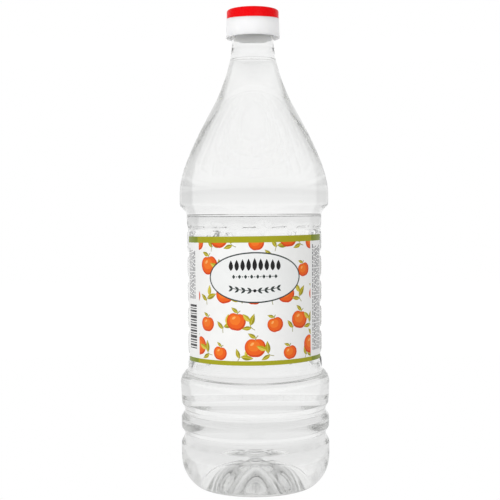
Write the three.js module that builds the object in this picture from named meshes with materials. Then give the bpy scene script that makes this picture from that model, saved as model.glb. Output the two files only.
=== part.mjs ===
// A clear blow-moulded half-litre bottle of vinegar: quilted label panel, ribbed
// lower body, domed base, front label, and a shut cap of two colours.
// Millimetres, +Z up, standing on z = 0 with the label facing -Y.

import * as THREE from 'three';

// Driving dimensions of the bottle. Heights are measured from the table.
const WALL = 0.6;
const FOOT_INNER_RADIUS = 22.5;
const FOOT_OUTER_RADIUS = 26.3;
const DOME_HEIGHT = 9.0;
const DOME_CROWN_RADIUS = 13.0;
const DOME_RIB_DEPTH = 1.2;
const HEEL_CONTROL_HEIGHT = 5.6;
const HEEL_TOP = 13.9;
const BODY_RADIUS = 33.8;

// Two grooves run round the lower body and leave a rib between them.
const GROOVE_HEIGHTS = [23.1, 34.0];
const GROOVE_RADIUS = 32.2;
const GROOVE_FLOOR_HALF = 0.8;
const GROOVE_MOUTH_HALF = 3.4;

// The label panel is set back, and quilted into pads by a net of small grooves.
const BULGE_TOP = 47.0;
const PANEL_BOTTOM = 52.6;
const PANEL_TOP = 122.3;
const PAD_RADIUS = 30.55;
const PAD_RELIEF = 1.05;
const PAD_COLUMNS = 15;
const PAD_FIRST_GROOVE = THREE.MathUtils.degToRad(6.9);
const PAD_GROOVE_HALF = 1.15;
const PAD_ROW_GROOVES = 6;
const PAD_ROW_BASE = 59.0;
const PAD_ROW_PITCH = 11.44;
const PAD_MARGIN = 0.4;

// The shoulder overhangs the panel with a lip, then sweeps up to the neck.
const LIP_ROOT = { r: 30.9, h: 123.6 };
const LIP_EDGE = { r: 33.3, h: 126.5 };
const LIP_TOP = 127.9;
const SHOULDER_BOTTOM = 131.5;
const SHOULDER_LOWER_PULL = 18.4;
const SHOULDER_UPPER_PULL = { r: 0.8, h: 17.6 };
const NECK_BOTTOM = 196.5;
const NECK_RADIUS = 9.8;
const FINISH_BOTTOM = 198.6;
const FINISH_RADIUS = 9.5;
const MOUTH_RADIUS = 8.4;

// What is in the bottle and on it.
const FILL_HEIGHT = 192.2;
const FIT_GAP = 0.3;
const LABEL_BOTTOM = 57.8;
const LABEL_TOP = 113.3;
const LABEL_HALF_ANGLE = THREE.MathUtils.degToRad(71.5);
const LABEL_GAP = 0.25;
const LABEL_THICKNESS = 0.25;

// The cap: a white collar that covers the mouth, and a red lid on top of it.
const COLLAR_BOTTOM = 202.2;
const COLLAR_HEIGHT = 8.1;
const COLLAR_FOOT_RADIUS = 12.2;
const COLLAR_HEAD_RADIUS = 11.9;
const COLLAR_DECK = 1.5;
const LID_HEIGHT = 4.1;
const LID_RADIUS = 11.75;
const LID_CORNER = 1.1;
const CAP_CHAMFER = 0.3;

// How finely the round shapes are divided.
const STEPS_PER_PAD = 4;
const DOME_STEPS = 3;
const HEEL_STEPS = 4;
const BULGE_STEPS = 2;
const SHOULDER_STEPS = 7;
const FILL_SEGMENTS = PAD_COLUMNS * 2;
const LABEL_SEGMENTS = 24;
const CAP_SEGMENTS = 36;
const CORNER_STEPS = 3;
const COLUMNS_PER_DOME_RIB = 3;

const PAD_ANGLE = (2 * Math.PI) / PAD_COLUMNS;
const PANEL_FLOOR = PAD_RADIUS - PAD_RELIEF;
const MOUTH_TOP = COLLAR_BOTTOM + COLLAR_HEIGHT - COLLAR_DECK - FIT_GAP;

// A row is one ring of a turned profile: its radius, its height and its relief.
const row = (r, h, relief = null) => ({ r, h, relief });

function curveRows(curve, steps) {
  return curve.getPoints(steps).map((point) => row(point.x, point.y));
}

// Inset 0 is the outside of the bottle; a larger inset is a skin further inside it.
function baseRows(inset) {
  const dome = new THREE.QuadraticBezierCurve(
    new THREE.Vector2(0, DOME_HEIGHT + inset),
    new THREE.Vector2(DOME_CROWN_RADIUS + inset, DOME_HEIGHT + inset),
    new THREE.Vector2(FOOT_INNER_RADIUS + inset, inset),
  );
  const heel = new THREE.QuadraticBezierCurve(
    new THREE.Vector2(FOOT_OUTER_RADIUS - inset, inset),
    new THREE.Vector2(BODY_RADIUS - inset, HEEL_CONTROL_HEIGHT + inset),
    new THREE.Vector2(BODY_RADIUS - inset, HEEL_TOP),
  );
  const domeRows = curveRows(dome, DOME_STEPS);
  if (inset === 0) {
    domeRows.slice(1, -1).forEach((ring) => { ring.relief = 'rib'; });
  }
  return [...domeRows, ...curveRows(heel, HEEL_STEPS)];
}

function grooveRows(inset, height) {
  return [
    row(BODY_RADIUS - inset, height - GROOVE_MOUTH_HALF),
    row(GROOVE_RADIUS - inset, height - GROOVE_FLOOR_HALF),
    row(GROOVE_RADIUS - inset, height + GROOVE_FLOOR_HALF),
    row(BODY_RADIUS - inset, height + GROOVE_MOUTH_HALF),
  ];
}

function bulgeRows(inset) {
  const rounded = new THREE.QuadraticBezierCurve(
    new THREE.Vector2(BODY_RADIUS - inset, BULGE_TOP),
    new THREE.Vector2(BODY_RADIUS - inset, (BULGE_TOP + PANEL_BOTTOM) / 2),
    new THREE.Vector2(PAD_RADIUS - inset, PANEL_BOTTOM),
  );
  return curveRows(rounded, BULGE_STEPS);
}

// Each groove of the net is a V between the edges of two rows of pads.
function quiltedPanelRows() {
  const rows = [row(PAD_RADIUS, PANEL_BOTTOM + PAD_MARGIN, 'pad')];
  for (let i = 0; i < PAD_ROW_GROOVES; i++) {
    const height = PAD_ROW_BASE + i * PAD_ROW_PITCH;
    rows.push(
      row(PAD_RADIUS, height - PAD_GROOVE_HALF, 'pad'),
      row(PANEL_FLOOR, height),
      row(PAD_RADIUS, height + PAD_GROOVE_HALF, 'pad'),
    );
  }
  rows.push(row(PAD_RADIUS, PANEL_TOP - PAD_MARGIN, 'pad'));
  return rows;
}

function plainPanelRows(inset) {
  return [
    row(PANEL_FLOOR - inset, PANEL_BOTTOM + PAD_MARGIN),
    row(PANEL_FLOOR - inset, PANEL_TOP - PAD_MARGIN),
  ];
}

function shoulderRows(inset) {
  const sweep = new THREE.CubicBezierCurve(
    new THREE.Vector2(BODY_RADIUS - inset, SHOULDER_BOTTOM),
    new THREE.Vector2(BODY_RADIUS - inset, SHOULDER_BOTTOM + SHOULDER_LOWER_PULL),
    new THREE.Vector2(
      NECK_RADIUS + SHOULDER_UPPER_PULL.r - inset,
      NECK_BOTTOM - SHOULDER_UPPER_PULL.h,
    ),
    new THREE.Vector2(NECK_RADIUS - inset, NECK_BOTTOM),
  );
  return [
    row(PAD_RADIUS - inset, PANEL_TOP),
    row(LIP_ROOT.r - inset, LIP_ROOT.h),
    row(LIP_EDGE.r - inset, LIP_EDGE.h),
    row(BODY_RADIUS - inset, LIP_TOP),
    ...curveRows(sweep, SHOULDER_STEPS),
  ];
}

function bodyRows(inset) {
  return [
    ...baseRows(inset),
    ...GROOVE_HEIGHTS.flatMap((height) => grooveRows(inset, height)),
    ...bulgeRows(inset),
    ...(inset === 0 ? quiltedPanelRows() : plainPanelRows(inset)),
    ...shoulderRows(inset),
  ];
}

// The bottle's own steps round the axis: each pad has two edges and a middle,
// and each upright groove a line down its floor.
function stepAngle(step) {
  const grooveHalfAngle = PAD_GROOVE_HALF / PAD_RADIUS;
  const withinPad = [0, grooveHalfAngle, PAD_ANGLE / 2, PAD_ANGLE - grooveHalfAngle];
  const column = Math.floor(step / STEPS_PER_PAD);
  return PAD_FIRST_GROOVE + column * PAD_ANGLE + withinPad[step % STEPS_PER_PAD];
}

function carve(ring, step) {
  const onGroove = step % STEPS_PER_PAD === 0;
  const onRib = step % (STEPS_PER_PAD * COLUMNS_PER_DOME_RIB) === 0;
  const sunk = ring.relief === 'pad' && onGroove ? PAD_RELIEF : 0;
  const dropped = ring.relief === 'rib' && onRib ? DOME_RIB_DEPTH : 0;
  return { r: ring.r - sunk, h: ring.h - dropped };
}

function turn(rows, segments, start = 0) {
  const points = rows.map((ring) => new THREE.Vector2(ring.r, ring.h));
  return new THREE.LatheGeometry(points, segments, start);
}

// The shell runs up the outside, over the mouth and down the inside to the axis.
function bottleGeometry() {
  const rows = [
    ...bodyRows(0),
    row(FINISH_RADIUS, FINISH_BOTTOM),
    row(FINISH_RADIUS, MOUTH_TOP),
    row(MOUTH_RADIUS, MOUTH_TOP),
    row(MOUTH_RADIUS, FINISH_BOTTOM),
    ...bodyRows(WALL).reverse(),
  ];
  const geometry = turn(rows, PAD_COLUMNS * STEPS_PER_PAD);
  const position = geometry.getAttribute('position');
  for (let i = 0; i < position.count; i++) {
    const step = Math.floor(i / rows.length);
    const { r, h } = carve(rows[i % rows.length], step);
    const angle = stepAngle(step);
    position.setXYZ(i, r * Math.sin(angle), h, r * Math.cos(angle));
  }
  return geometry;
}

// The drink keeps just clear of the wall and is cut off level at the fill line.
function drinkGeometry() {
  const rows = bodyRows(WALL + FIT_GAP);
  const above = rows.findIndex((ring) => ring.h > FILL_HEIGHT);
  const below = rows[above - 1];
  const share = (FILL_HEIGHT - below.h) / (rows[above].h - below.h);
  const radius = THREE.MathUtils.lerp(below.r, rows[above].r, share);
  const filled = [...rows.slice(0, above), row(radius, FILL_HEIGHT), row(0, FILL_HEIGHT)];
  return turn(filled, FILL_SEGMENTS, PAD_FIRST_GROOVE);
}

// A thin sheet bent round the front of the pads.
function labelGeometry() {
  const inner = PAD_RADIUS + LABEL_GAP;
  const outer = inner + LABEL_THICKNESS;
  const front = -Math.PI / 2;
  const sheet = new THREE.Shape()
    .absarc(0, 0, outer, front - LABEL_HALF_ANGLE, front + LABEL_HALF_ANGLE, false)
    .absarc(0, 0, inner, front + LABEL_HALF_ANGLE, front - LABEL_HALF_ANGLE, true);
  return new THREE.ExtrudeGeometry(sheet, {
    depth: LABEL_TOP - LABEL_BOTTOM,
    curveSegments: LABEL_SEGMENTS,
    bevelEnabled: false,
  });
}

// Heights of the two cap pieces are measured from their own undersides.
function collarGeometry() {
  const bore = FINISH_RADIUS + FIT_GAP;
  const rows = [
    row(0, COLLAR_HEIGHT - COLLAR_DECK),
    row(bore, COLLAR_HEIGHT - COLLAR_DECK),
    row(bore, 0),
    row(COLLAR_FOOT_RADIUS - CAP_CHAMFER, 0),
    row(COLLAR_FOOT_RADIUS, CAP_CHAMFER),
    row(COLLAR_HEAD_RADIUS, COLLAR_HEIGHT - CAP_CHAMFER),
    row(COLLAR_HEAD_RADIUS - CAP_CHAMFER, COLLAR_HEIGHT),
    row(0, COLLAR_HEIGHT),
  ];
  return turn(rows, CAP_SEGMENTS);
}

function lidGeometry() {
  const corner = new THREE.EllipseCurve(
    LID_RADIUS - LID_CORNER, LID_HEIGHT - LID_CORNER,
    LID_CORNER, LID_CORNER, 0, Math.PI / 2,
  );
  const rows = [
    row(0, 0),
    row(LID_RADIUS - CAP_CHAMFER, 0),
    row(LID_RADIUS, CAP_CHAMFER),
    ...curveRows(corner, CORNER_STEPS),
    row(0, LID_HEIGHT),
  ];
  return turn(rows, CAP_SEGMENTS);
}

function piece(name, geometry, finish) {
  const mesh = new THREE.Mesh(geometry, new THREE.MeshStandardMaterial(finish));
  mesh.name = name;
  return mesh;
}

const clear = { metalness: 0, roughness: 0.05, transparent: true };

const bottle = piece('bottle', bottleGeometry(), { ...clear, color: 0xf4f6f5, opacity: 0.3 });
const vinegar = piece('vinegar', drinkGeometry(), { ...clear, color: 0xf2f3f0, opacity: 0.25 });
const label = piece('label', labelGeometry(), { color: 0xf3f3f0, roughness: 0.35, metalness: 0 });
const collar = piece('cap_collar', collarGeometry(), { color: 0xf0f1f1, roughness: 0.4, metalness: 0 });
const lid = piece('cap_lid', lidGeometry(), { color: 0xee111c, roughness: 0.35, metalness: 0 });

// Lathe shapes are turned about Y, so one group stands them all up along +Z.
const turned = new THREE.Group();
turned.rotation.x = Math.PI / 2;
collar.position.y = COLLAR_BOTTOM;
lid.position.y = COLLAR_BOTTOM + COLLAR_HEIGHT + FIT_GAP;
turned.add(bottle, vinegar, collar, lid);

label.position.z = LABEL_BOTTOM;

const vinegarBottle = new THREE.Group();
vinegarBottle.add(turned, label);

export default vinegarBottle;
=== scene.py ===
"""A clear half-litre bottle of vinegar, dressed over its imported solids.

Shapes are worked out in millimetres and become metres in their meshes.
Angles round the bottle start at the label's middle (-Y) and grow towards +X.
"""

import math

import bmesh
import bpy
import numpy as np
from mathutils import Matrix, Vector
from mathutils.geometry import delaunay_2d_cdt


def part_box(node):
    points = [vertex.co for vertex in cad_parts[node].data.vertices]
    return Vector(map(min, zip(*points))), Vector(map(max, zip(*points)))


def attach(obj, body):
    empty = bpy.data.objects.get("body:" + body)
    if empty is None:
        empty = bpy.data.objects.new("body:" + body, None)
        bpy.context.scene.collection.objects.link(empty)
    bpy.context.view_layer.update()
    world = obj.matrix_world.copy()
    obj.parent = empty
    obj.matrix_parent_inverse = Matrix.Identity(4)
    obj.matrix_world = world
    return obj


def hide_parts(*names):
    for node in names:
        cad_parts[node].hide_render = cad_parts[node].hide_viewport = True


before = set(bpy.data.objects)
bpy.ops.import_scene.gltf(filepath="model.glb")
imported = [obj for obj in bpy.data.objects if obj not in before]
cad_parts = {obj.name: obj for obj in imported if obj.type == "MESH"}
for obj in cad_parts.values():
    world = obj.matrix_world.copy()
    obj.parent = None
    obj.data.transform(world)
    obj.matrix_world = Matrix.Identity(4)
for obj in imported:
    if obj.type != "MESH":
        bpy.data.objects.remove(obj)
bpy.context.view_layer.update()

MM = 0.001


def heights_of(node):
    """Lowest and highest level of a solid, in millimetres."""
    low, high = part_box(node)
    return low.z / MM, high.z / MM


# Levels that the solids fix.
MOUTH_TOP = heights_of("bottle")[1]
FILL_LEVEL = heights_of("vinegar")[1]
LABEL_BOTTOM, LABEL_TOP = heights_of("label")
COLLAR_BOTTOM, COLLAR_TOP = heights_of("cap_collar")
LID_BOTTOM, LID_TOP = heights_of("cap_lid")

# The bottle's base: a ribbed dome inside a flat standing ring, then the heel.
DOME_HEIGHT = 11.3
DOME_CROWN = 13.0
DOME_RIBS = 5
DOME_RIB_TURN = math.radians(36)
DOME_RIB_DEPTH = 3.0
DOME_RIB_HALF = 3.4
DOME_RIB_START = (2.5, 7.0)
DOME_RIB_FADE = 5.0
GATE_RADIUS = 2.2
GATE_DROP = 0.9
GATE_EDGE = 0.7
FOOT_INNER = 22.5
FOOT_OUTER = 27.3
FOOT_EASE = 0.6
HEEL_BEND = (33.8, 4.8)
HEEL_TOP = 13.9

# The ribbed lower body, as corners of radius, height and easing.
CUP_RADIUS = 33.78
LOWER_BODY = (
    (CUP_RADIUS, HEEL_TOP, 0.0),
    (CUP_RADIUS, 19.4, 0.6),
    (32.2, 22.4, 0.5),
    (32.2, 24.2, 0.4),
    (33.7, 26.3, 0.5),
    (33.7, 31.0, 0.5),
    (32.2, 33.2, 0.4),
    (32.2, 35.0, 0.4),
    (33.45, 37.3, 0.5),
    (33.65, 40.4, 1.0),
    (33.9, 44.0, 1.5),
    (33.9, 46.5, 0.0),
)
BULGE_BEND = (33.9, 50.1)

# The label panel, quilted into pads by a net of grooves.
PANEL_RADIUS = 30.55
PANEL_BOTTOM = 52.6
PANEL_TOP = 122.2
PANEL_EASE = 0.9
PAD_COLUMNS = 15
PAD_PITCH = 2 * math.pi / PAD_COLUMNS
FIRST_GROOVE = math.radians(6.9)
ROW_GROOVES = 6
ROW_BASE = 59.0
ROW_PITCH = 11.44
GROOVE_HALF = 1.4
GROOVE_DEPTH = 0.9
GROOVE_EASE = 0.5
PAD_CORNER = 2.2
PAD_CROWN = 0.1
QUILT_FADE_LOW = (53.6, 56.0)
QUILT_FADE_HIGH = (112.5, 120.0)

# The lip over the panel, the swept shoulder and the neck.
LIP_START = PANEL_TOP - 0.6
LIP = (
    (PANEL_RADIUS, LIP_START, 0.0),
    (PANEL_RADIUS, PANEL_TOP + 0.3, 0.4),
    (31.0, 123.9, 0.6),
    (33.75, 126.8, 1.0),
    (33.8, 131.5, 0.0),
)
SHOULDER_LOW = ((33.8, 131.5), (33.8, 143.0), (25.2, 159.0), (17.4, 173.0))
SHOULDER_HIGH = ((17.4, 173.0), (14.2, 179.4), (10.6, 189.0), (9.65, 197.0))
FINISH_RADIUS = 9.5
FINISH_BOTTOM = 198.4
BORE_RADIUS = 8.95
BORE_STEP = 4.0
RIM_EASE = 0.35
FINISH_EASE = 0.5
BORE_EASE = 1.2
NECK_STEP = 0.3

# The wall, and how far the drink reaches into it.
WALL = 0.36
FLOOR_WALL = 0.8
DRINK_INSET = 0.2
DRINK_LIFT = 0.4
MENISCUS_RISE = 0.5
MENISCUS_REACH = 0.8
MENISCUS_STEPS = (0.15, 0.35, 0.6, 1.0, 1.6, 2.4, 3.6)
SURFACE_FLAT = 5.0
SURFACE_RINGS = 4

# Where the mesh has its points: beside a groove, along the curves, and where the quilting fades.
GROOVE_STEPS = (0.0, 0.45, 0.9, 1.4, 2.6, 4.4)
LONGEST_STEP = 2.0
SHORTEST_STEP = 0.04
DOME_STEPS = 20
HEEL_STEPS = 12
BULGE_STEPS = 10
SHOULDER_LOW_STEPS = 34
SHOULDER_HIGH_STEPS = 18
FADE_LEAD = 0.6
FADE_STEP = 0.7


def bezier(control, steps):
    """Points along a curve with the given control points, both ends included."""
    share = np.linspace(0, 1, steps + 1)[:, None]
    points = [np.array(point, float) for point in control]
    while len(points) > 1:
        points = [a * (1 - share) + b * share for a, b in zip(points, points[1:])]
    return points[0]


def eased(corners, steps=4):
    """A line of radius and height through the corners, each eased over its own reach."""
    spots = [np.array(corner[:2], float) for corner in corners]
    path = [spots[0]]
    for before, here, after, corner in zip(spots, spots[1:], spots[2:], corners[1:]):
        back = (before - here) / np.linalg.norm(before - here)
        ahead = (after - here) / np.linalg.norm(after - here)
        path.extend(bezier((here + back * corner[2], here, here + ahead * corner[2]), steps))
    path.append(spots[-1])
    return np.array(path)


def joined(*paths):
    """Paths end to end, long stretches divided and doubled points dropped."""
    points = np.concatenate(paths)
    line = [points[0]]
    for point in points[1:]:
        gap = np.linalg.norm(point - line[-1])
        if gap < SHORTEST_STEP:
            continue
        pieces = max(1, math.ceil(gap / LONGEST_STEP))
        start = line[-1]
        line.extend(start + (point - start) * k / pieces for k in range(1, pieces + 1))
    return np.array(line)


def smooth(value, low, high):
    """0 below low, 1 above high, and an even ease between them."""
    share = np.clip((value - low) / (high - low), 0, 1)
    return share * share * (3 - 2 * share)


def panel_path():
    """Rings of the label panel, close together where a groove crosses."""
    levels = {PANEL_BOTTOM + PANEL_EASE, LIP_START, ROW_BASE + (ROW_GROOVES - 0.5) * ROW_PITCH}
    for groove in range(ROW_GROOVES):
        middle = ROW_BASE + groove * ROW_PITCH
        for step in GROOVE_STEPS:
            levels.update((middle - step, middle + step))
        levels.add(middle - ROW_PITCH / 2)
    levels.update(np.arange(QUILT_FADE_HIGH[0] - FADE_LEAD, QUILT_FADE_HIGH[1], FADE_STEP))
    inside = [z for z in sorted(levels) if PANEL_BOTTOM < z < PANEL_TOP]
    return np.array([(PANEL_RADIUS, z) for z in inside])


def dome_path():
    """The underside of the base, from the axis out to the standing ring."""
    dome = bezier(((0, DOME_HEIGHT), (DOME_CROWN, DOME_HEIGHT), (FOOT_INNER, 0)), DOME_STEPS)
    ring = np.array([(FOOT_INNER + FOOT_EASE, 0), (FOOT_OUTER, 0)])
    return np.concatenate((dome, ring))


def body_path():
    """The outside of the bottle, from the axis under its base up to the neck."""
    heel = bezier(((FOOT_OUTER, 0), HEEL_BEND, (CUP_RADIUS, HEEL_TOP)), HEEL_STEPS)
    bulge_ends = LOWER_BODY[-1][:2], (PANEL_RADIUS, PANEL_BOTTOM)
    bulge = bezier((bulge_ends[0], BULGE_BEND, bulge_ends[1]), BULGE_STEPS)
    return joined(
        dome_path(), heel, eased(LOWER_BODY), bulge, panel_path(), eased(LIP),
        bezier(SHOULDER_LOW, SHOULDER_LOW_STEPS), bezier(SHOULDER_HIGH, SHOULDER_HIGH_STEPS),
    )


def column_angles():
    """Angles round the bottle, close together where an upright groove runs."""
    arcs = sorted({sign * step for step in GROOVE_STEPS for sign in (-1, 1)})
    arcs.append(PANEL_RADIUS * PAD_PITCH / 2)
    turns = np.arange(PAD_COLUMNS)[:, None] * PAD_PITCH
    return (FIRST_GROOVE + turns + np.array(arcs) / PANEL_RADIUS).ravel()


def quilting(angles, levels):
    """How far the net of grooves sinks the panel at every level and angle."""
    half_pitch = PAD_PITCH / 2
    off_groove = (angles - FIRST_GROOVE + half_pitch) % PAD_PITCH - half_pitch
    from_pad_x = PANEL_RADIUS * (half_pitch - np.abs(off_groove))[None, :]
    nearest = np.clip(np.round((levels - ROW_BASE) / ROW_PITCH), 0, ROW_GROOVES - 1)
    off_row = np.abs(levels - ROW_BASE - nearest * ROW_PITCH)
    from_pad_y = (ROW_PITCH / 2 - off_row)[:, None]
    half_width = PANEL_RADIUS * half_pitch - GROOVE_HALF
    half_height = ROW_PITCH / 2 - GROOVE_HALF
    over_x = np.abs(from_pad_x) - half_width + PAD_CORNER
    over_y = from_pad_y - half_height + PAD_CORNER
    outside = np.hypot(np.maximum(over_x, 0), np.maximum(over_y, 0))
    distance = outside + np.minimum(np.maximum(over_x, over_y), 0) - PAD_CORNER
    crown = PAD_CROWN * smooth(distance, -half_height, 0)
    sunk = crown + GROOVE_DEPTH * smooth(distance, -GROOVE_EASE, GROOVE_HALF)
    fade = smooth(levels, *QUILT_FADE_LOW) * (1 - smooth(levels, *QUILT_FADE_HIGH))
    return sunk * fade[:, None]


def dome_relief(angles, radii):
    """How far the ribs and the gate mark drop below the dome of the base."""
    spacing = 2 * math.pi / DOME_RIBS
    off_rib = (angles - DOME_RIB_TURN + spacing / 2) % spacing - spacing / 2
    across = radii[:, None] * off_rib[None, :] / DOME_RIB_HALF
    fade = 1 - smooth(radii, FOOT_INNER - DOME_RIB_FADE, FOOT_INNER)
    reach = smooth(radii, *DOME_RIB_START) * fade
    ribs = DOME_RIB_DEPTH * np.exp(-across**2) * reach[:, None]
    gate = GATE_DROP * (1 - smooth(radii, GATE_RADIUS - GATE_EDGE, GATE_RADIUS))
    return ribs + gate[:, None]


def bottle_rings(path, angles, inset=0.0, lift=0.0):
    """Radius and height of every point of a skin that lies inset inside the bottle."""
    radii, levels = path[:, 0], path[:, 1]
    on_base = np.arange(len(path)) < len(dome_path())
    sunk = quilting(angles, levels) * (~on_base)[:, None]
    dropped = dome_relief(angles, radii) * on_base[:, None]
    inward = np.where(on_base, 0.0, inset)
    raised = lift * np.clip(1 - levels / HEEL_TOP, 0, 1)
    raised = np.where(on_base, lift, raised)
    radius = np.maximum((radii - inward)[:, None] - sunk, 0)
    height = (levels + raised)[:, None] - dropped
    return radius, height


def plain_rings(path, angles):
    """Radius and height of every point of a smooth turned skin."""
    ones = np.ones((1, len(angles)))
    return path[:, :1] * ones, path[:, 1:] * ones


def turned_piece(name, rings, angles, materials, top_from=None):
    """A closed turned mesh from rings, from axis to axis; its top may have the second material."""
    radius, height = rings
    across = radius * np.sin(angles)
    depth = -radius * np.cos(angles)
    points = np.stack((across, depth, height), axis=-1).reshape(-1, 3) * MM
    index = np.arange(radius.size).reshape(radius.shape)
    beside = np.roll(index, -1, axis=1)
    quads = np.stack((index[:-1], beside[:-1], beside[1:], index[1:]), axis=-1)
    mesh = bpy.data.meshes.new(name)
    mesh.from_pydata(points.tolist(), [], quads.reshape(-1, 4).tolist())
    for material in materials:
        mesh.materials.append(material)
    if top_from is not None:
        on_top = np.repeat(np.arange(len(radius) - 1) >= top_from, len(angles))
        mesh.polygons.foreach_set("material_index", on_top.astype(int))
    shape = bmesh.new()
    shape.from_mesh(mesh)
    bmesh.ops.remove_doubles(shape, verts=shape.verts, dist=1e-6)
    shape.to_mesh(mesh)
    shape.free()
    mesh.polygons.foreach_set("use_smooth", np.ones(len(mesh.polygons), bool))
    piece = bpy.data.objects.new(name, mesh)
    bpy.context.scene.collection.objects.link(piece)
    return piece


def dress(piece, node):
    """Puts a finished piece in a solid's place."""
    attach(piece, "root")
    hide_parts(node)


# Bottle and drink

def make_bottle(material):
    """The clear shell: up the outside, over the mouth and down the inside."""
    angles = column_angles()
    path = body_path()
    outside = bottle_rings(path, angles)
    inside = bottle_rings(path, angles, WALL, FLOOR_WALL)
    joint = FINISH_BOTTOM - BORE_STEP
    below = path[:, 1] < joint - NECK_STEP
    throat = path[below][-1] - (WALL, 0)
    finish = joined(eased((
        (SHOULDER_HIGH[-1][0], SHOULDER_HIGH[-1][1] + NECK_STEP, 0.0),
        (FINISH_RADIUS, FINISH_BOTTOM, FINISH_EASE),
        (FINISH_RADIUS, MOUTH_TOP, RIM_EASE),
        (BORE_RADIUS, MOUTH_TOP, RIM_EASE),
        (BORE_RADIUS, FINISH_BOTTOM, BORE_EASE),
        (*throat, 0.0),
    )))
    neck = plain_rings(finish, angles)
    inside = tuple(part[below][::-1] for part in inside)
    rings = tuple(np.concatenate(parts) for parts in zip(outside, neck, inside))
    piece = turned_piece("bottle_shell", rings, angles, [material])
    dress(piece, "bottle")


def make_drink(liquid, shaded_surface):
    """The vinegar, a little way into the wall, with its surface drawn up at the edge."""
    angles = column_angles()
    path = body_path()
    path = path[path[:, 1] < FILL_LEVEL + MENISCUS_RISE]
    rings = bottle_rings(path, angles, DRINK_INSET, DRINK_LIFT)
    edge = path[-1][0] - DRINK_INSET
    inward = np.concatenate((MENISCUS_STEPS, np.linspace(SURFACE_FLAT, edge, SURFACE_RINGS)))
    rise = MENISCUS_RISE * np.exp(-inward / MENISCUS_REACH)
    surface = np.stack((edge - inward, FILL_LEVEL + rise), axis=-1)
    rings = tuple(np.concatenate(parts) for parts in zip(rings, plain_rings(surface, angles)))
    # The top takes the dark finish, painted shade that draws the level line.
    materials = [liquid, shaded_surface]
    piece = turned_piece("vinegar_fill", rings, angles, materials, top_from=len(path))
    dress(piece, "vinegar")


# Cap

CAP_COLUMNS = 120
COLLAR_FOOT = 12.2
COLLAR_HEAD = 11.9
COLLAR_BORE = 9.65
COLLAR_DECK = 1.2
COLLAR_EDGE = 0.45
COLLAR_FUNNEL = 3.2
COLLAR_FLARE = (0.1, 1.6)
LID_RADIUS = 11.75
LID_CORNER = 1.1
LID_DISH = 0.35
LID_DISH_EDGE = (2.6, 3.4)
LID_LIFT = 0.35
LID_DIP = 0.8
SEAT_BLEND = (0.3, 2.5)
SEAT_GAP = 0.02


def cap_angles():
    """Even steps round the cap."""
    return np.arange(CAP_COLUMNS) * 2 * math.pi / CAP_COLUMNS


def cap_rings(path, angles):
    """Rings of a cap piece, sloped where lid and collar meet, which lies lower in front."""
    radius, height = plain_rings(path, angles)
    near_seat = 1 - smooth(np.abs(path[:, 1] - LID_BOTTOM), *SEAT_BLEND)
    slope = LID_LIFT - LID_DIP * np.cos(angles)
    return radius, height + near_seat[:, None] * slope[None, :]


def make_collar(material):
    """The white collar: a deck, and a flared skirt that opens like a funnel below."""
    deck = COLLAR_TOP - COLLAR_DECK
    path = joined(eased((
        (0.0, deck, 0.0),
        (COLLAR_BORE, deck, 0.3),
        (COLLAR_BORE, COLLAR_BOTTOM + COLLAR_FUNNEL, 0.6),
        (COLLAR_FOOT - COLLAR_EDGE, COLLAR_BOTTOM, 0.15),
        (COLLAR_FOOT, COLLAR_BOTTOM, 0.22),
        (COLLAR_FOOT - COLLAR_FLARE[0], COLLAR_BOTTOM + COLLAR_FLARE[1], 0.8),
        (COLLAR_HEAD, LID_BOTTOM - SEAT_GAP, 0.15),
        (0.0, LID_BOTTOM - SEAT_GAP, 0.0),
    )))
    angles = cap_angles()
    piece = turned_piece("white_collar", cap_rings(path, angles), angles, [material])
    dress(piece, "cap_collar")


def make_lid(material):
    """The red lid: a rounded disc, dished on top, seated on the collar."""
    path = joined(eased((
        (0.0, LID_BOTTOM, 0.0),
        (LID_RADIUS, LID_BOTTOM, 0.15),
        (LID_RADIUS, LID_TOP, LID_CORNER),
        (LID_RADIUS - LID_DISH_EDGE[0], LID_TOP, 0.5),
        (LID_RADIUS - LID_DISH_EDGE[1], LID_TOP - LID_DISH, 0.4),
        (0.0, LID_TOP - LID_DISH, 0.0),
    ), steps=7))
    angles = cap_angles()
    piece = turned_piece("red_lid", cap_rings(path, angles), angles, [material])
    dress(piece, "cap_lid")


# Label print, in millimetres across the sheet from its middle and up from its lower edge

LABEL_FACE = 30.82
LABEL_SHEET = 0.18
LABEL_SKEW = math.radians(0.5)
LABEL_HALF_ANGLE = math.asin(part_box("label")[1].x / -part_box("label")[0].y)
SHEET_HALF = LABEL_FACE * LABEL_HALF_ANGLE
SHEET_HEIGHT = LABEL_TOP - LABEL_BOTTOM
SHEET_STEP = 1.5
TOP_BAND = 2.7
BOTTOM_BAND = 1.95
BAND_HALF = 29.0
FIELD_HALF = 28.2
PLAQUE_MIDDLE = (0.0, 37.8)
PLAQUE_REACH = (21.1, 10.95)
PLAQUE_BORDER = 0.6
PETALS_EACH_SIDE = 4
PETAL_STEP = 2.6
PETAL_LENGTH = 5.6
PETAL_TAPER = 0.25
PETAL_WIDTH = 2.0
PETAL_FOOT = 2.9
BEADS = 8
BEAD_REACH = (0.75, 0.95)
BEAD_DOT = (0.28, 0.28)
BEADS_HALF = 9.2
BEADS_LIFT = 0.4
GARLAND_PAIRS = 4
GARLAND_HALF = 11.0
GARLAND_SAG = 1.3
GARLAND_DROP = 5.6
GARLAND_STEM = 0.3
GARLAND_LEAF = (2.3, 0.95)
GARLAND_LEAN = 0.6
GARLAND_KNOT = (0.7, 0.7)
FRUIT_SPACING = (14.8, 11.8)
FRUIT_FIRST_ROW = 6.4
FRUIT_ROWS = 5
FRUIT_REACH = 3.7
FRUIT_VARIETY = 0.16
FRUIT_STRAY = (1.5, 1.3)
FRUIT_LEAN = 0.25
SPRIG_OFFSET = (0.8, -3.6)
SPRIG_TURN = (1.6, 0.9)
SPRIG_LENGTH = 4.2
LEAF_LENGTH = 5.8
PRINT_LINE = 1.3
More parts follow.
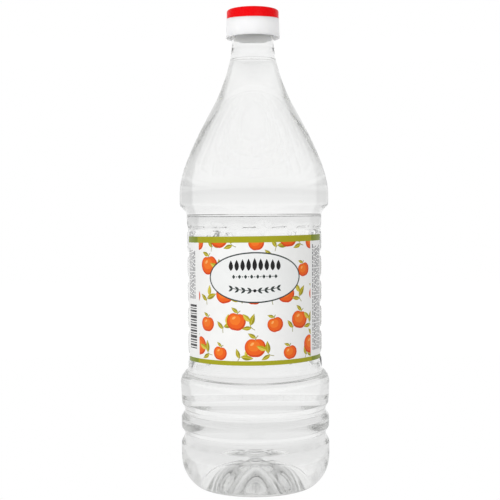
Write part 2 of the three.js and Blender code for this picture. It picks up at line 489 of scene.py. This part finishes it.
PRINT_STROKE = 0.7
PRINT_GAP = 0.45
BAR_GAP = 0.5
BAR_ROOM = 1.2
# Fields of the sheet's sides, as left, right, bottom and top.
LEFT_PRINT = (-37.2, -29.6, 28.0, 50.6)
BAR_FIELD = (-36.7, -30.2, 6.0, 26.0)
RIGHT_PRINT = (29.8, 37.6, 4.6, 51.4)


def oval(middle, reach, turn=0.0, points=44):
    """The outline of an oval with its long way turned by an angle."""
    around = np.linspace(0, 2 * math.pi, points, endpoint=False)
    x = reach[0] * np.cos(around)
    y = reach[1] * np.sin(around)
    return placed(np.stack((x, y), axis=-1), middle, turn)


def placed(outline, middle, turn=0.0):
    """An outline turned about its own origin and set down at a point."""
    c, s = math.cos(turn), math.sin(turn)
    return outline @ np.array(((c, s), (-s, c))) + np.array(middle)


def block(left, bottom, right, top):
    """The outline of an upright rectangle."""
    return np.array(((left, bottom), (right, bottom), (right, top), (left, top)), float)


def ribbon(line, width):
    """A strip along a line of points, of one width or a width for each point."""
    line = np.array(line, float)
    along = np.gradient(line, axis=0)
    along /= np.linalg.norm(along, axis=1)[:, None]
    half = np.broadcast_to(width, len(line))[:, None] / 2
    aside = np.stack((-along[:, 1], along[:, 0]), axis=-1) * half
    return np.concatenate((line + aside, (line - aside)[::-1]))


def leaf_edge(length, width, points=9):
    """One curved edge of a pointed leaf, from its foot to its tip."""
    share = np.linspace(0, 1, points)
    swell = np.sin(math.pi * share**0.8) * width / 2
    return np.stack((length * share, swell), axis=-1)


def leaf_outline(length, width):
    """A whole pointed leaf."""
    upper = leaf_edge(length, width)
    return np.concatenate((upper, (upper * (1, -1))[::-1][1:-1]))


def leaf(foot, turn, length, width, inks=("leaf_ink", "leaf_shade_ink")):
    """A leaf in two tones with a pale midrib."""
    lower = leaf_edge(length, width) * (1, -1)
    shaded = np.concatenate((lower, [(length * 0.5, 0.0)]))
    midrib = ribbon(((0.2, 0), (length * 0.5, 0), (length * 0.86, 0)), 0.2)
    return [
        (inks[0], placed(leaf_outline(length, width), foot, turn)),
        (inks[1], placed(shaded, foot, turn)),
        ("leaf_light_ink", placed(midrib, foot, turn)),
    ]


def apple_outline(reach):
    """A round fruit with a dip at the stalk and a slight one below."""
    around = np.linspace(0, 2 * math.pi, 44, endpoint=False)
    from_top = (around - math.pi / 2 + math.pi) % (2 * math.pi) - math.pi
    from_foot = (around + math.pi / 2 + math.pi) % (2 * math.pi) - math.pi
    size = 1 - 0.17 * np.exp(-(from_top / 0.36) ** 2) - 0.07 * np.exp(-(from_foot / 0.3) ** 2)
    wide = 1.06 + 0.05 * np.sin(around)
    return reach * np.stack((size * wide * np.cos(around), size * np.sin(around)), axis=-1)


def apple(middle, reach, turn):
    """A fruit in four tones, the palest up on the left, with a stalk and one leaf."""
    body = apple_outline(reach)
    stalk = ribbon(((0, reach * 0.74), (0.1 * reach, reach), (0.3 * reach, reach * 1.22)), 0.4)
    foot = placed(np.array([(0.08 * reach, reach * 0.95)]), middle, turn)[0]
    tones = (
        ("fruit_shade_ink", body),
        ("fruit_ink", body * 0.87 + np.array((-0.05, 0.07)) * reach),
        ("fruit_glow_ink", body * 0.56 + np.array((-0.14, 0.16)) * reach),
        ("fruit_light_ink", oval((-0.3 * reach, 0.36 * reach), (0.22 * reach, 0.12 * reach), 0.7)),
        ("stalk_ink", stalk),
    )
    layers = [(ink, placed(outline, middle, turn)) for ink, outline in tones]
    return layers + leaf(foot, turn + 2.6, reach * 0.95, reach * 0.42)


def sprig(foot, turn, length):
    """A thin curved twig with a leaf on either side and a pale one at its tip."""
    share = np.linspace(0, 1, 9)
    curve = np.stack((length * share, 0.2 * length * np.sin(math.pi * share)), axis=-1)
    twig = placed(curve, foot, turn)
    pale = ("leaf_pale_ink", "leaf_ink")
    return [
        ("stalk_ink", ribbon(twig, 0.3)),
        *leaf(twig[3], turn + 1.15, LEAF_LENGTH * 0.75, LEAF_LENGTH * 0.32),
        *leaf(twig[5], turn - 0.85, LEAF_LENGTH * 0.95, LEAF_LENGTH * 0.4),
        *leaf(twig[-1], turn + 0.25, LEAF_LENGTH * 0.8, LEAF_LENGTH * 0.36, pale),
    ]


def orchard_print():
    """Fruit and sprigs, loosely scattered over the middle of the sheet in a half-drop."""
    layers = []
    step_x, step_y = FRUIT_SPACING
    for row in range(FRUIT_ROWS):
        for column in range(-2, 3):
            sway = math.sin(2.3 * column + 1.7 * row)
            bob = math.cos(3.1 * column - 2.2 * row)
            x = (column + row % 2 / 2) * step_x + FRUIT_STRAY[0] * sway
            y = FRUIT_FIRST_ROW + row * step_y + FRUIT_STRAY[1] * bob
            layers += apple((x, y), FRUIT_REACH * (1 + FRUIT_VARIETY * bob), FRUIT_LEAN * sway)
            foot = (x + step_x / 2 + SPRIG_OFFSET[0], y + SPRIG_OFFSET[1])
            layers += sprig(foot, SPRIG_TURN[0] + SPRIG_TURN[1] * bob, SPRIG_LENGTH)
    return [(ink, inside_field(outline)) for ink, outline in layers]


def inside_field(outline):
    """An outline cut off where the printed field ends."""
    lowest = (-FIELD_HALF, BOTTOM_BAND)
    highest = (FIELD_HALF, SHEET_HEIGHT - TOP_BAND)
    return np.clip(outline, lowest, highest)


def bead_row(middle, half, beads):
    """A row of lozenges with a dot in each gap."""
    step = 2 * half / (beads - 1)
    layers = []
    for bead in range(beads):
        spot = (middle[0] - half + bead * step, middle[1])
        layers.append(("border_ink", oval(spot, BEAD_REACH, points=4)))
        if bead:
            gap = (spot[0] - step / 2, spot[1])
            layers.append(("border_ink", oval(gap, BEAD_DOT, points=12)))
    return layers


def garland(middle, half, sag, pairs):
    """A leafy stem in a shallow bow, with pairs of leaves that point outwards."""
    share = np.linspace(-1, 1, 25)
    stem = np.stack((half * share, sag * share**2), axis=-1) + np.array(middle)
    layers = [("border_ink", ribbon(stem, GARLAND_STEM))]
    for pair in range(pairs):
        along = (pair + 0.5) / pairs
        for side in (-1, 1):
            foot = (middle[0] + side * half * along, middle[1] + sag * along**2)
            outward = math.pi / 2 - side * math.pi / 2
            for lean in (-GARLAND_LEAN, GARLAND_LEAN):
                outline = placed(leaf_outline(*GARLAND_LEAF), foot, outward + lean)
                layers.append(("border_ink", outline))
    layers.append(("bold_ink", oval(middle, GARLAND_KNOT, points=20)))
    return layers


def plaque_print():
    """An oval plaque with a dark border, a frieze of upright petals, a bead row and a garland."""
    x, y = PLAQUE_MIDDLE
    inner = tuple(reach - PLAQUE_BORDER for reach in PLAQUE_REACH)
    layers = [
        ("border_ink", oval(PLAQUE_MIDDLE, PLAQUE_REACH, points=96)),
        ("plaque_ink", oval(PLAQUE_MIDDLE, inner, points=96)),
    ]
    for petal in range(-PETALS_EACH_SIDE, PETALS_EACH_SIDE + 1):
        foot = (x + PETAL_STEP * petal, y + PETAL_FOOT)
        outline = leaf_outline(PETAL_LENGTH - PETAL_TAPER * abs(petal), PETAL_WIDTH)
        layers.append(("bold_ink", placed(outline, foot, math.pi / 2)))
    layers += bead_row((x, y + BEADS_LIFT), BEADS_HALF, BEADS)
    return layers + garland((x, y - GARLAND_DROP), GARLAND_HALF, GARLAND_SAG, GARLAND_PAIRS)


def small_print(left, right, bottom, top):
    """Upright lines of short strokes of uneven length, as fine print looks from afar."""
    layers = []
    strokes = (1.5, 0.8, 2.1, 1.2, 0.6, 1.8, 1.0)
    for line in range(math.floor((right - left) / PRINT_LINE)):
        x = left + PRINT_LINE * line
        y = bottom
        step = 3 * line
        while y + strokes[step % len(strokes)] < top:
            length = strokes[step % len(strokes)]
            layers.append(("fine_ink", block(x, y, x + PRINT_STROKE, y + length)))
            y += length + PRINT_GAP
            step += 1
    return layers


def bar_block(left, right, bottom, top):
    """A stack of bars of a few thicknesses."""
    layers = []
    thicknesses = (0.45, 1.0, 0.45, 0.7, 1.3, 0.45, 0.9)
    y = bottom
    step = 0
    while y + BAR_ROOM < top:
        thickness = thicknesses[step % len(thicknesses)]
        layers.append(("bar_ink", block(left, y, right, y + thickness)))
        y += thickness + BAR_GAP
        step += 1
    return layers


def band_print(bottom, top):
    """A band right across the sheet, darker past the printed field: painted shade for the sheet's
    ends, which catch less reflected light than its middle.
    """
    return [
        ("band_end_shade_ink", block(-SHEET_HALF, bottom, SHEET_HALF, top)),
        ("band_ink", block(-BAND_HALF, bottom, BAND_HALF, top)),
    ]


def label_print():
    """Every layer of the print, the topmost last."""
    return [
        *orchard_print(),
        *plaque_print(),
        *small_print(*LEFT_PRINT),
        *bar_block(*BAR_FIELD),
        *small_print(*RIGHT_PRINT),
        *band_print(SHEET_HEIGHT - TOP_BAND, SHEET_HEIGHT),
        *band_print(0, BOTTOM_BAND),
    ]


def divided(outline):
    """A closed outline with its long sides cut into short steps."""
    spots = []
    for start, end in zip(outline, np.roll(outline, -1, axis=0)):
        pieces = max(1, math.ceil(np.linalg.norm(end - start) / SHEET_STEP))
        spots.extend(start + (end - start) * k / pieces for k in range(pieces))
    return np.array(spots)


def covers(outline, spots):
    """Which spots lie inside an outline."""
    inside = np.zeros(len(spots), bool)
    x, y = spots[:, 0], spots[:, 1]
    for start, end in zip(outline, np.roll(outline, -1, axis=0)):
        crosses = (start[1] > y) != (end[1] > y)
        rise = end[1] - start[1]
        at = start[0] + (y - start[1]) * (end[0] - start[0]) / (rise if rise else 1)
        inside ^= crosses & (x < at)
    return inside


def print_mosaic(layers):
    """Triangles that tile the sheet along every edge of the print, and each one's layer."""
    sheet = block(-SHEET_HALF, 0, SHEET_HALF, SHEET_HEIGHT)
    spots, edges = [], []
    for outline in [sheet, *(outline for ink, outline in layers)]:
        ring = divided(outline)
        first = len(spots)
        spots.extend(ring.tolist())
        edges.extend((first + k, first + (k + 1) % len(ring)) for k in range(len(ring)))
    columns = np.arange(-SHEET_HALF + SHEET_STEP / 2, SHEET_HALF, SHEET_STEP)
    rows = np.arange(SHEET_STEP, SHEET_HEIGHT - SHEET_STEP / 2, 2 * SHEET_STEP)
    spots.extend((x, y) for x in columns for y in rows)
    tiled = delaunay_2d_cdt([Vector(spot) for spot in spots], edges, [], 0, 1e-5, False)
    points = np.array([tuple(point) for point in tiled[0]])
    triangles = np.array(tiled[2])
    middles = points[triangles].mean(axis=1)
    top_layer = np.zeros(len(triangles), int)
    for number, (ink, outline) in enumerate(layers, start=1):
        top_layer[covers(outline, middles)] = number
    return points, triangles, top_layer


def wrapped(points, radius):
    """Points of the flat sheet, bent round the bottle at a radius."""
    angle = points[:, 0] / LABEL_FACE
    level = LABEL_BOTTOM + points[:, 1] + points[:, 0] * math.tan(LABEL_SKEW)
    return np.stack((radius * np.sin(angle), -radius * np.cos(angle), level), axis=-1) * MM


def outer_edges(triangles):
    """Edges that only one triangle has, in that triangle's direction."""
    edges = np.concatenate((triangles[:, (0, 1)], triangles[:, (1, 2)], triangles[:, (2, 0)]))
    known = {tuple(edge) for edge in edges.tolist()}
    return [edge for edge in known if (edge[1], edge[0]) not in known]


def make_label(inks, paper, bare):
    """The printed sheet: print in front, its bare side behind and at the rim."""
    layers = label_print()
    points, triangles, top_layer = print_mosaic(layers)
    count = len(points)
    front = wrapped(points, LABEL_FACE)
    back = wrapped(points, LABEL_FACE - LABEL_SHEET)
    rim = [(b, a, a + count, b + count) for a, b in sorted(outer_edges(triangles))]
    faces = triangles.tolist() + (triangles[:, ::-1] + count).tolist() + rim
    mesh = bpy.data.meshes.new("front_label")
    mesh.from_pydata(np.concatenate((front, back)).tolist(), [], faces)
    names = list(inks)
    mesh.materials.append(paper)
    for name in names:
        mesh.materials.append(inks[name])
    mesh.materials.append(bare)
    slot_of_layer = np.array([0] + [names.index(ink) + 1 for ink, outline in layers])
    slots = np.full(len(faces), len(names) + 1)
    slots[:len(triangles)] = slot_of_layer[top_layer]
    mesh.polygons.foreach_set("material_index", slots)
    mesh.polygons.foreach_set("use_smooth", np.ones(len(faces), bool))
    outward = front * (1, 1, 0)
    outward /= np.linalg.norm(outward, axis=1)[:, None]
    mesh.normals_split_custom_set_from_vertices(np.concatenate((outward, -outward)).tolist())
    piece = bpy.data.objects.new("front_label", mesh)
    bpy.context.scene.collection.objects.link(piece)
    dress(piece, "label")


# Materials

PLASTIC_IOR = 1.57
DRINK_IOR = 1.34
# How much of the drink's top stays clear; the rest of it is dark, painted shade for the level line.
SURFACE_CLARITY = 0.4
# Fine relief of moulded plastic beside its cloudiness.
PORE_FINENESS = 14.0
PORE_RELIEF = 0.06
# Coarse patches and fine fibres of printed paper.
PATCH_SCALE = 260.0
FIBRE_SCALE = 2600.0
FIBRE_SHARE = 0.6
FIBRE_GLOSS = 0.06
# How far light travels inside the collar and the label's sheet, in metres, and by colour.
COLLAR_SCATTER = 0.0025
SHEET_SCATTER = 0.0003
SCATTER_BY_COLOUR = (1.0, 1.0, 0.95)
PAPER_COLOUR = (0.85, 0.85, 0.84, 1)
BARE_COLOUR = (0.95, 0.95, 0.94, 1)


def srgb(red, green, blue):
    """A colour as a screen shows it, 0 to 255, as the light it stands for."""
    shares = (value / 255 for value in (red, green, blue))
    light = [s / 12.92 if s <= 0.04045 else ((s + 0.055) / 1.055) ** 2.4 for s in shares]
    return (*light, 1.0)


def new_group(name, inputs, outputs):
    """An empty shader node group with named sockets."""
    group = bpy.data.node_groups.new(name, "ShaderNodeTree")
    for label, kind, value in inputs:
        socket = group.interface.new_socket(label, in_out="INPUT", socket_type=kind)
        socket.default_value = value
    for label, kind in outputs:
        group.interface.new_socket(label, in_out="OUTPUT", socket_type=kind)
    return group, group.nodes.new("NodeGroupInput"), group.nodes.new("NodeGroupOutput")


def noise(tree, scale, detail, place):
    """A noise texture in a node tree; scale is a number or a socket."""
    node = tree.nodes.new("ShaderNodeTexNoise")
    node.inputs["Detail"].default_value = detail
    tree.links.new(place, node.inputs["Vector"])
    if isinstance(scale, (int, float)):
        node.inputs["Scale"].default_value = scale
    else:
        tree.links.new(scale, node.inputs["Scale"])
    return node.outputs["Fac"]


def math_node(tree, kind, first, second):
    """What a sum of the given kind makes of two sockets or numbers."""
    node = tree.nodes.new("ShaderNodeMath")
    node.operation = kind
    for socket, value in zip(node.inputs, (first, second)):
        if isinstance(value, (int, float)):
            socket.default_value = value
        else:
            tree.links.new(value, socket)
    return node.outputs["Value"]


def toned(tree, colour, tone):
    """A colour socket made lighter or darker by a tone socket."""
    node = tree.nodes.new("ShaderNodeVectorMath")
    node.operation = "SCALE"
    tree.links.new(colour, node.inputs["Vector"])
    tree.links.new(tone, node.inputs["Scale"])
    return node.outputs["Vector"]


def moulded_skin_group():
    """The cloudy tone, patchy gloss and slight waviness of moulded plastic."""
    group, given, result = new_group(
        "moulded_skin",
        (
            ("Colour", "NodeSocketColor", (1, 1, 1, 1)),
            ("Grain", "NodeSocketFloat", 60.0),
            ("Tone Depth", "NodeSocketFloat", 0.04),
            ("Gloss", "NodeSocketFloat", 0.3),
            ("Gloss Spread", "NodeSocketFloat", 0.1),
        ),
        (
            ("Colour", "NodeSocketColor"),
            ("Roughness", "NodeSocketFloat"),
            ("Height", "NodeSocketFloat"),
        ),
    )
    place = group.nodes.new("ShaderNodeTexCoord").outputs["Object"]
    clouds = noise(group, given.outputs["Grain"], 2.0, place)
    pore_scale = math_node(group, "MULTIPLY", given.outputs["Grain"], PORE_FINENESS)
    pores = noise(group, pore_scale, 3.0, place)
    dip = math_node(group, "MULTIPLY", clouds, given.outputs["Tone Depth"])
    tone = math_node(group, "SUBTRACT", 1.0, dip)
    off_middle = math_node(group, "SUBTRACT", pores, 0.5)
    spread = math_node(group, "MULTIPLY", off_middle, given.outputs["Gloss Spread"])
    roughness = math_node(group, "ADD", given.outputs["Gloss"], spread)
    height = math_node(group, "ADD", clouds, math_node(group, "MULTIPLY", pores, PORE_RELIEF))
    group.links.new(toned(group, given.outputs["Colour"], tone), result.inputs["Colour"])
    group.links.new(roughness, result.inputs["Roughness"])
    group.links.new(height, result.inputs["Height"])
    return group


def print_grain_group():
    """Ink that lies a little unevenly on coated paper."""
    group, given, result = new_group(
        "print_grain",
        (
            ("Ink", "NodeSocketColor", (1, 1, 1, 1)),
            ("Unevenness", "NodeSocketFloat", 0.1),
            ("Gloss", "NodeSocketFloat", 0.2),
        ),
        (
            ("Colour", "NodeSocketColor"),
            ("Roughness", "NodeSocketFloat"),
            ("Height", "NodeSocketFloat"),
        ),
    )
    place = group.nodes.new("ShaderNodeTexCoord").outputs["Object"]
    patches = noise(group, PATCH_SCALE, 3.0, place)
    fibres = noise(group, FIBRE_SCALE, 2.0, place)
    both = math_node(group, "ADD", patches, math_node(group, "MULTIPLY", fibres, FIBRE_SHARE))
    off_middle = math_node(group, "SUBTRACT", both, (1 + FIBRE_SHARE) / 2)
    dip = math_node(group, "MULTIPLY", off_middle, given.outputs["Unevenness"])
    tone = math_node(group, "SUBTRACT", 1.0, dip)
    shift = math_node(group, "MULTIPLY", math_node(group, "SUBTRACT", fibres, 0.5), FIBRE_GLOSS)
    roughness = math_node(group, "ADD", given.outputs["Gloss"], shift)
    group.links.new(toned(group, given.outputs["Ink"], tone), result.inputs["Colour"])
    group.links.new(roughness, result.inputs["Roughness"])
    group.links.new(fibres, result.inputs["Height"])
    return group


def finish_with(name, group, values, bump):
    """A material whose colour, gloss and relief come from a group with the given values."""
    material = bpy.data.materials.new(name)
    material.use_nodes = True
    tree = material.node_tree
    shader = tree.nodes["Principled BSDF"]
    effect = tree.nodes.new("ShaderNodeGroup")
    effect.node_tree = group
    for label, value in values.items():
        effect.inputs[label].default_value = value
    relief = tree.nodes.new("ShaderNodeBump")
    relief.inputs["Strength"].default_value = bump[0]
    relief.inputs["Distance"].default_value = bump[1]
    tree.links.new(effect.outputs["Colour"], shader.inputs["Base Color"])
    tree.links.new(effect.outputs["Roughness"], shader.inputs["Roughness"])
    tree.links.new(effect.outputs["Height"], relief.inputs["Height"])
    tree.links.new(relief.outputs["Normal"], shader.inputs["Normal"])
    return material, shader


def scatter_light(shader, distance):
    """Lets light into a pale surface, to come out again about that far away."""
    shader.inputs["Subsurface Weight"].default_value = 1.0
    shader.inputs["Subsurface Radius"].default_value = SCATTER_BY_COLOUR
    shader.inputs["Subsurface Scale"].default_value = distance


def let_light_through(material):
    """Clear matter casts no shadow, so that light reaches the label and the cap behind it."""
    tree = material.node_tree
    clear = tree.nodes.new("ShaderNodeBsdfTransparent")
    mix = tree.nodes.new("ShaderNodeMixShader")
    shadow = tree.nodes.new("ShaderNodeLightPath").outputs["Is Shadow Ray"]
    tree.links.new(shadow, mix.inputs["Fac"])
    tree.links.new(tree.nodes["Principled BSDF"].outputs["BSDF"], mix.inputs[1])
    tree.links.new(clear.outputs["BSDF"], mix.inputs[2])
    tree.links.new(mix.outputs["Shader"], tree.nodes["Material Output"].inputs["Surface"])


def clear_plastic(skin):
    """The bottle's clear glossy plastic, slightly wavy from blowing."""
    values = {
        "Colour": (0.998, 1.0, 0.999, 1), "Grain": 38.0, "Tone Depth": 0.012,
        "Gloss": 0.02, "Gloss Spread": 0.02,
    }
    material, shader = finish_with("clear_plastic", skin, values, (0.06, 0.0003))
    shader.inputs["Transmission Weight"].default_value = 1.0
    shader.inputs["IOR"].default_value = PLASTIC_IOR
    let_light_through(material)
    return material


def vinegar_liquid(skin):
    """The clear, all but colourless drink."""
    values = {
        "Colour": (1.0, 1.0, 0.996, 1), "Grain": 20.0, "Tone Depth": 0.006,
        "Gloss": 0.0, "Gloss Spread": 0.0,
    }
    material, shader = finish_with("vinegar_liquid", skin, values, (0.0, 0.0001))
    shader.inputs["Transmission Weight"].default_value = 1.0
    shader.inputs["IOR"].default_value = DRINK_IOR
    let_light_through(material)
    return material


def vinegar_surface(skin):
    """The drink's top, dark and only partly clear: painted shade that draws the level line."""
    values = {
        "Colour": (0.14, 0.14, 0.13, 1), "Grain": 400.0, "Tone Depth": 0.3,
        "Gloss": 0.02, "Gloss Spread": 0.02,
    }
    material, shader = finish_with("vinegar_surface", skin, values, (0.0, 0.0001))
    shader.inputs["Transmission Weight"].default_value = SURFACE_CLARITY
    shader.inputs["IOR"].default_value = DRINK_IOR
    return material


def white_plastic(skin):
    """The collar's satin plastic, which light gets a little way into."""
    values = {
        "Colour": (0.955, 0.965, 0.97, 1), "Grain": 90.0, "Tone Depth": 0.01,
        "Gloss": 0.3, "Gloss Spread": 0.12,
    }
    material, shader = finish_with("white_plastic", skin, values, (0.12, 0.0003))
    scatter_light(shader, COLLAR_SCATTER)
    return material


def red_plastic(skin):
    """The lid's satin plastic."""
    values = {
        "Colour": srgb(240, 3, 12), "Grain": 90.0, "Tone Depth": 0.06,
        "Gloss": 0.28, "Gloss Spread": 0.12,
    }
    material, shader = finish_with("red_plastic", skin, values, (0.12, 0.0003))
    shader.inputs["Specular IOR Level"].default_value = 0.1
    return material


def label_inks(grain):
    """One varnished ink for each colour of the print."""
    colours = {
        "band_ink": srgb(160, 158, 14),
        # Painted shade: the band's ends, darker where they catch no reflection.
        "band_end_shade_ink": srgb(122, 136, 0),
        "border_ink": srgb(52, 60, 58),
        "bold_ink": srgb(20, 20, 22),
        "plaque_ink": srgb(232, 233, 232),
        "fruit_shade_ink": srgb(204, 66, 10),
        "fruit_ink": srgb(230, 92, 12),
        "fruit_glow_ink": srgb(236, 116, 26),
        "fruit_light_ink": srgb(246, 170, 92),
        "leaf_ink": srgb(174, 160, 14),
        "leaf_shade_ink": srgb(146, 138, 12),
        "leaf_pale_ink": srgb(208, 192, 70),
        "leaf_light_ink": srgb(214, 200, 90),
        "stalk_ink": srgb(150, 146, 84),
        "fine_ink": srgb(96, 96, 102),
        "bar_ink": srgb(44, 42, 46),
    }
    return {name: coated_paper(name, grain, colour) for name, colour in colours.items()}


def coated_paper(name, grain, colour):
    """Smooth varnished paper in one colour."""
    values = {"Ink": colour, "Unevenness": 0.08, "Gloss": 0.08}
    material, shader = finish_with(name, grain, values, (0.04, 0.00005))
    shader.inputs["Specular IOR Level"].default_value = 0.35
    return material


def bare_paper(grain):
    """The unprinted side of the label, thin enough for some light to come through."""
    material = coated_paper("bare_paper", grain, BARE_COLOUR)
    scatter_light(material.node_tree.nodes["Principled BSDF"], SHEET_SCATTER)
    return material


# Studio

CAMERA_PLACE = (-1.95, -478.0, 123.6)
CAMERA_PITCH = 2.07
CAMERA_ROLL = -0.4
CAMERA_LENS = 75.5
FLOOR_HALF = 4.0

# Brightness of the surround, by the angle in degrees from straight behind the bottle to the right.
ROUND_LIGHT = (
    (-180, 0.75), (-104, 0.75), (-98, 0.7), (-66, 0.7), (-58, 0.88), (-34, 0.9), (-31, 1.05),
    (31, 1.05), (34, 0.83), (58, 0.81), (66, 0.64), (98, 0.64), (104, 0.75), (180, 0.75),
)
# The same by the sine of the height above the horizon.
HIGH_LIGHT = ((-1.0, 0.82), (0.0, 0.82), (0.015, 0.87), (0.15, 0.96), (0.35, 0.84), (1.0, 0.72))
# How brightly the floor glows, by the distance from the bottle's axis in metres; the dark disc out
# to about 3 cm is a painted shadow under the bottle.
FLOOR_TONES = (
    (0.0, 0.25), (0.02, 0.3), (0.034, 0.84), (0.06, 0.8), (0.1, 0.83), (0.16, 0.85), (0.3, 0.89),
    (0.5, 0.97), (1.2, 0.97), (2.0, 0.91), (4.0, 0.86),
)
# Where the floor takes on the brightness of the surround.
FLOOR_BLEND = ((0.0, 0.0), (0.04, 0.0), (0.12, 1.0), (1.0, 1.0))
# Lamps in front, as a place and a width in metres and a power in watts.
LAMPS = {
    "key_lamp": ((-1.2, -1.0, 0.1), 0.9, 15.0),
    "fill_lamp": ((0.7, -1.4, 0.1), 0.9, 9.5),
}
LAMP_AIM = (0.0, 0.0, 0.12)


def make_camera():
    """The camera where the photograph was taken from."""
    data = bpy.data.cameras.new("photo_camera")
    data.lens = CAMERA_LENS
    camera = bpy.data.objects.new("photo_camera", data)
    tilt = Matrix.Rotation(math.radians(90 - CAMERA_PITCH), 4, "X")
    roll = Matrix.Rotation(math.radians(CAMERA_ROLL), 4, "Z")
    place = Matrix.Translation([value * MM for value in CAMERA_PLACE])
    camera.matrix_world = place @ tilt @ roll
    bpy.context.scene.collection.objects.link(camera)
    bpy.context.scene.camera = camera


def graded(tree, socket, stops):
    """A grey that follows a socket through stops of value and brightness."""
    low, high = stops[0][0], stops[-1][0]
    share = tree.nodes.new("ShaderNodeMapRange")
    share.inputs["From Min"].default_value = low
    share.inputs["From Max"].default_value = high
    tree.links.new(socket, share.inputs["Value"])
    curve = tree.nodes.new("ShaderNodeFloatCurve")
    line = curve.mapping.curves[0]
    peak = max(level for value, level in stops)
    while len(line.points) < len(stops):
        line.points.new(0.5, 0.5)
    for point, (value, level) in zip(line.points, stops):
        point.location = ((value - low) / (high - low), level / peak)
        point.handle_type = "VECTOR"
    curve.mapping.update()
    tree.links.new(share.outputs["Result"], curve.inputs["Value"])
    return math_node(tree, "MULTIPLY", curve.outputs["Value"], peak)


def surround_group():
    """How bright the studio is in the compass direction of a vector."""
    group, given, result = new_group(
        "surround",
        (("Direction", "NodeSocketVector", (0, 1, 0)),),
        (("Brightness", "NodeSocketFloat"),),
    )
    axes = group.nodes.new("ShaderNodeSeparateXYZ")
    group.links.new(given.outputs["Direction"], axes.inputs["Vector"])
    turn = math_node(group, "ARCTAN2", axes.outputs["X"], axes.outputs["Y"])
    degrees = math_node(group, "MULTIPLY", turn, 180 / math.pi)
    group.links.new(graded(group, degrees, ROUND_LIGHT), result.inputs["Brightness"])
    return group


def surround_brightness(tree, group, direction):
    """The surround's brightness in the direction that a socket gives."""
    node = tree.nodes.new("ShaderNodeGroup")
    node.node_tree = group
    tree.links.new(direction, node.inputs["Direction"])
    return node.outputs["Brightness"]


def make_world(surround):
    """White to the eye; a studio that is brightest behind, to what the bottle bends and mirrors."""
    world = bpy.data.worlds.new("studio")
    bpy.context.scene.world = world
    world.use_nodes = True
    tree = world.node_tree
    direction = tree.nodes.new("ShaderNodeTexCoord").outputs["Generated"]
    axes = tree.nodes.new("ShaderNodeSeparateXYZ")
    tree.links.new(direction, axes.inputs["Vector"])
    above = graded(tree, axes.outputs["Z"], HIGH_LIGHT)
    studio = math_node(tree, "MULTIPLY", surround_brightness(tree, surround, direction), above)
    seen = tree.nodes.new("ShaderNodeLightPath").outputs["Is Camera Ray"]
    strength = math_node(tree, "MAXIMUM", studio, seen)
    tree.links.new(strength, tree.nodes["Background"].inputs["Strength"])
    tree.nodes["Background"].inputs["Color"].default_value = (1, 1, 1, 1)


def make_floor(surround):
    """A glowing floor, white to the eye, that runs on into the surround; to all else its glow holds
    a painted shadow under the bottle.
    """
    material = bpy.data.materials.new("glowing_floor")
    material.use_nodes = True
    tree = material.node_tree
    tree.nodes.remove(tree.nodes["Principled BSDF"])
    place = tree.nodes.new("ShaderNodeTexCoord").outputs["Object"]
    length = tree.nodes.new("ShaderNodeVectorMath")
    length.operation = "LENGTH"
    tree.links.new(place, length.inputs[0])
    blend = graded(tree, length.outputs["Value"], FLOOR_BLEND)
    beyond = math_node(tree, "SUBTRACT", surround_brightness(tree, surround, place), 1.0)
    share = math_node(tree, "ADD", math_node(tree, "MULTIPLY", beyond, blend), 1.0)
    # Painted shadow: the glow is dark under the bottle and paler further out.
    tone = math_node(tree, "MULTIPLY", graded(tree, length.outputs["Value"], FLOOR_TONES), share)
    seen = tree.nodes.new("ShaderNodeLightPath").outputs["Is Camera Ray"]
    glow = tree.nodes.new("ShaderNodeEmission")
    tree.links.new(math_node(tree, "MAXIMUM", tone, seen), glow.inputs["Strength"])
    tree.links.new(glow.outputs["Emission"], tree.nodes["Material Output"].inputs["Surface"])
    mesh = bpy.data.meshes.new("floor")
    corners = [(x * FLOOR_HALF, y * FLOOR_HALF, 0) for x, y in ((-1, -1), (1, -1), (1, 1), (-1, 1))]
    mesh.from_pydata(corners, [], [(0, 1, 2, 3)])
    mesh.materials.append(material)
    floor = bpy.data.objects.new("floor", mesh)
    bpy.context.scene.collection.objects.link(floor)


def make_lamps():
    """Soft lamps that light the print and the cap, and that the clear plastic doesn't show."""
    for name, (place, width, power) in LAMPS.items():
        data = bpy.data.lights.new(name, "AREA")
        data.size = width
        data.energy = power
        lamp = bpy.data.objects.new(name, data)
        lamp.location = place
        aim = Vector(LAMP_AIM) - lamp.location
        lamp.rotation_euler = aim.to_track_quat("-Z", "Y").to_euler()
        lamp.visible_camera = False
        lamp.visible_glossy = False
        lamp.visible_transmission = False
        bpy.context.scene.collection.objects.link(lamp)


def set_light_paths():
    """Enough bounces for light to pass wall, drink and wall again; plain display colours."""
    scene = bpy.context.scene
    scene.view_settings.view_transform = "Standard"
    scene.cycles.max_bounces = 40
    scene.cycles.transmission_bounces = 40
    scene.cycles.glossy_bounces = 32
    scene.cycles.diffuse_bounces = 12


studio_surround = surround_group()
make_camera()
make_floor(studio_surround)
make_world(studio_surround)
make_lamps()
set_light_paths()

moulded_skin = moulded_skin_group()
print_grain = print_grain_group()
make_bottle(clear_plastic(moulded_skin))
make_drink(vinegar_liquid(moulded_skin), vinegar_surface(moulded_skin))
label_paper = coated_paper("label_paper", print_grain, PAPER_COLOUR)
make_label(label_inks(print_grain), label_paper, bare_paper(print_grain))
make_collar(white_plastic(moulded_skin))
make_lid(red_plastic(moulded_skin))
